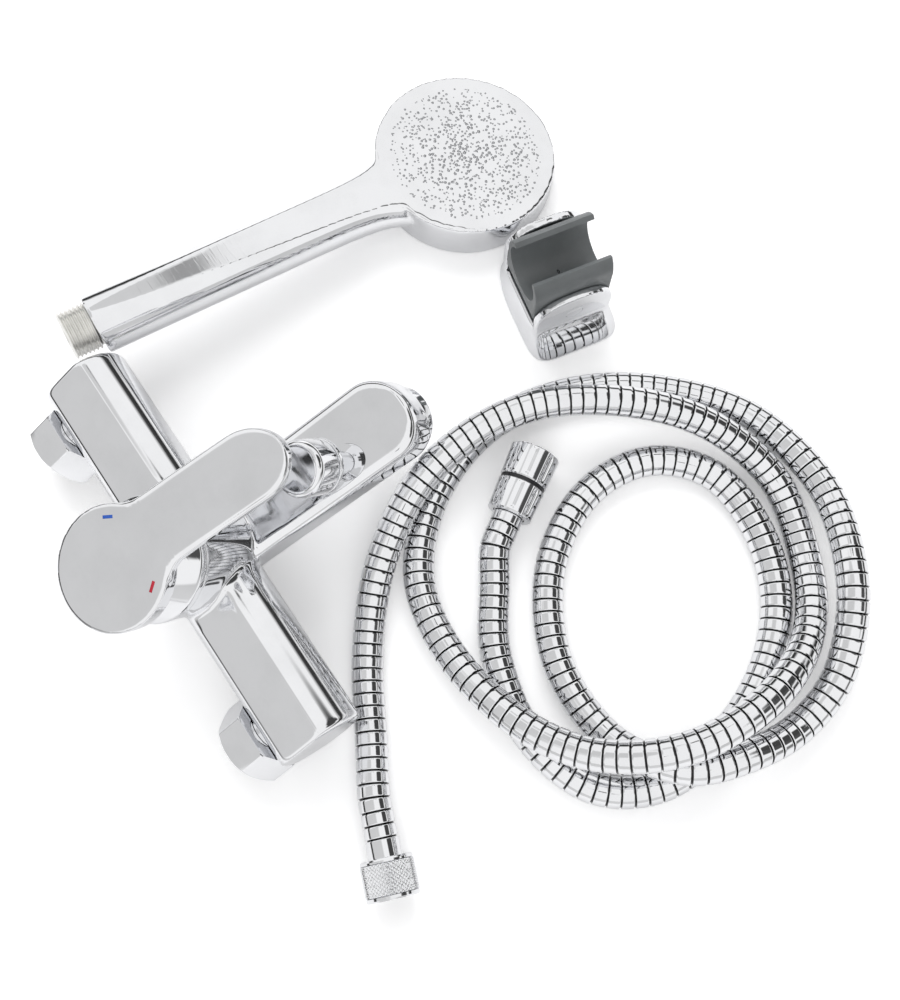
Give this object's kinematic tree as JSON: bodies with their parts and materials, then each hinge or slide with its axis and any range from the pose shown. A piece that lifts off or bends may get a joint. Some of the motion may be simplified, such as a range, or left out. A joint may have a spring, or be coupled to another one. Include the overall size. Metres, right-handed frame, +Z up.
{
  "type": "bath shower mixer",
  "caption": "Chrome single-lever bath mixer with fixed spout and pull-up diverter, with hand shower, ribbed hose and wall holder, laid out as a kit.",
  "frame": {"origin": "middle of the box round the mixer, hand shower and wall holder, on the surface that the kit lies on", "axes": "+Z up from that surface; +X along the mixer's bar towards its cold end; +Y from the spout towards the union nuts; the mixer is rolled back 30 degrees about X as it lies"},
  "size_m": [0.3349, 0.2914, 0.0877],
  "materials": {
    "chrome": "polished",
    "brass": "machined",
    "rubber": "matte",
    "ceramic": null,
    "inner_plastic": "moulded",
    "spray_plastic": "smooth",
    "cradle_plastic": "satin",
    "blue_enamel": "enamel",
    "red_enamel": "enamel",
    "dark_ring": "smooth",
    "thread_metal": "pale plated"
  },
  "bodies": {
    "mixer": {"mixer_body": "chrome", "collar": "chrome", "cartridge_nut": "brass", "cartridge_shell": "inner_plastic", "cartridge_base": "inner_plastic", "base_seals": "rubber", "fixed_disc": "ceramic", "diverter_gland": "chrome", "diverter_seat": "brass", "aerator_housing": "chrome", "aerator_insert": "inner_plastic", "aerator_washer": "rubber", "inlet_tail_left": "chrome", "inlet_tail_right": "chrome", "shower_outlet": "thread_metal", "check_valve": "inner_plastic", "inlet_washer_left": "rubber", "inlet_washer_right": "rubber"},
    "rotor": {"cartridge_rotor": "inner_plastic", "lever_pin": "chrome"},
    "lever_arm": {"cartridge_stem": "chrome", "lever": "chrome", "lever_screw": "chrome", "cold_mark": "blue_enamel", "hot_mark": "red_enamel"},
    "disc": {"moving_disc": "ceramic", "disc_carrier": "inner_plastic"},
    "diverter": {"diverter_knob": "chrome", "diverter_stem": "brass", "diverter_washer": "rubber"},
    "left_nut": {"union_nut_left": "chrome"},
    "right_nut": {"union_nut_right": "chrome"},
    "hand_shower": {"handset_shell": "chrome", "handset_cover": "inner_plastic", "handset_seal": "rubber", "handset_tube": "inner_plastic", "handset_thread": "thread_metal", "spray_plate": "spray_plastic", "spray_nozzles": "rubber", "face_ring": "chrome"},
    "holder": {"holder_body": "chrome", "holder_barrel": "chrome"},
    "cradle": {"holder_cradle": "cradle_plastic"},
    "hose_line": {"hose": "chrome", "hose_ferrule_start": "chrome", "hose_ferrule_end": "chrome"},
    "knurl": {"knurled_nut": "chrome", "knurled_nut_washer": "rubber"},
    "cone": {"cone_nut": "chrome", "cone_nut_ring": "dark_ring", "cone_nut_grip": "chrome", "cone_nut_washer": "rubber"}
  },
  "joints": [
    {"name": "temperature_turn", "type": "hinge", "parent": "mixer", "child": "rotor", "pos_m": [-0.021, 0.107, 0.05224], "axis": [0, 0.5, 0.866], "range_deg": [-45, 45]},
    {"name": "flow_lift", "type": "hinge", "parent": "rotor", "child": "lever_arm", "pos_m": [-0.021, 0.107, 0.05224], "axis": [-1, 0, 0], "range_deg": [0, 25]},
    {"name": "disc_slide", "type": "slide", "parent": "rotor", "child": "disc", "axis": [0, -0.866, 0.5], "range_m": [0, 0.0053]},
    {"name": "diverter_pull", "type": "slide", "parent": "mixer", "child": "diverter", "axis": [0, 0.5878, 0.809], "range_m": [0, 0.005]},
    {"name": "left_nut_turn", "type": "hinge", "parent": "mixer", "child": "left_nut", "pos_m": [-0.096, 0.11313, 0.01637], "axis": [0, 0.866, -0.5], "continuous": true},
    {"name": "right_nut_turn", "type": "hinge", "parent": "mixer", "child": "right_nut", "pos_m": [0.054, 0.11313, 0.01637], "axis": [0, 0.866, -0.5], "continuous": true},
    {"name": "hand_shower_lift", "type": "slide", "parent": "mixer", "child": "hand_shower", "axis": [0, 0, 1], "range_m": [0, 0.05]},
    {"name": "holder_lift", "type": "slide", "parent": "mixer", "child": "holder", "axis": [0, 0, 1], "range_m": [0, 0.05]},
    {"name": "cradle_tilt", "type": "hinge", "parent": "holder", "child": "cradle", "pos_m": [-0.00165, -0.10114, 0.021], "axis": [0.9781, -0.2079, 0], "range_deg": [-20, 20]},
    {"name": "hose_pull", "type": "slide", "parent": "mixer", "child": "hose_line", "axis": [-1, 0, 0], "range_m": [0, 0.05]},
    {"name": "knurled_nut_turn", "type": "hinge", "parent": "hose_line", "child": "knurl", "pos_m": [-0.16991, 0.10042, 0.0109], "axis": [-0.9272, 0.3746, 0], "continuous": true},
    {"name": "cone_nut_turn", "type": "hinge", "parent": "hose_line", "child": "cone", "pos_m": [-0.06805, -0.03572, 0.011], "axis": [0.5299, -0.848, 0], "continuous": true}
  ],
  "couplings": [
    {"joint": "disc_slide", "follows": "flow_lift", "m_per_rad": 0.011905}
  ]
}
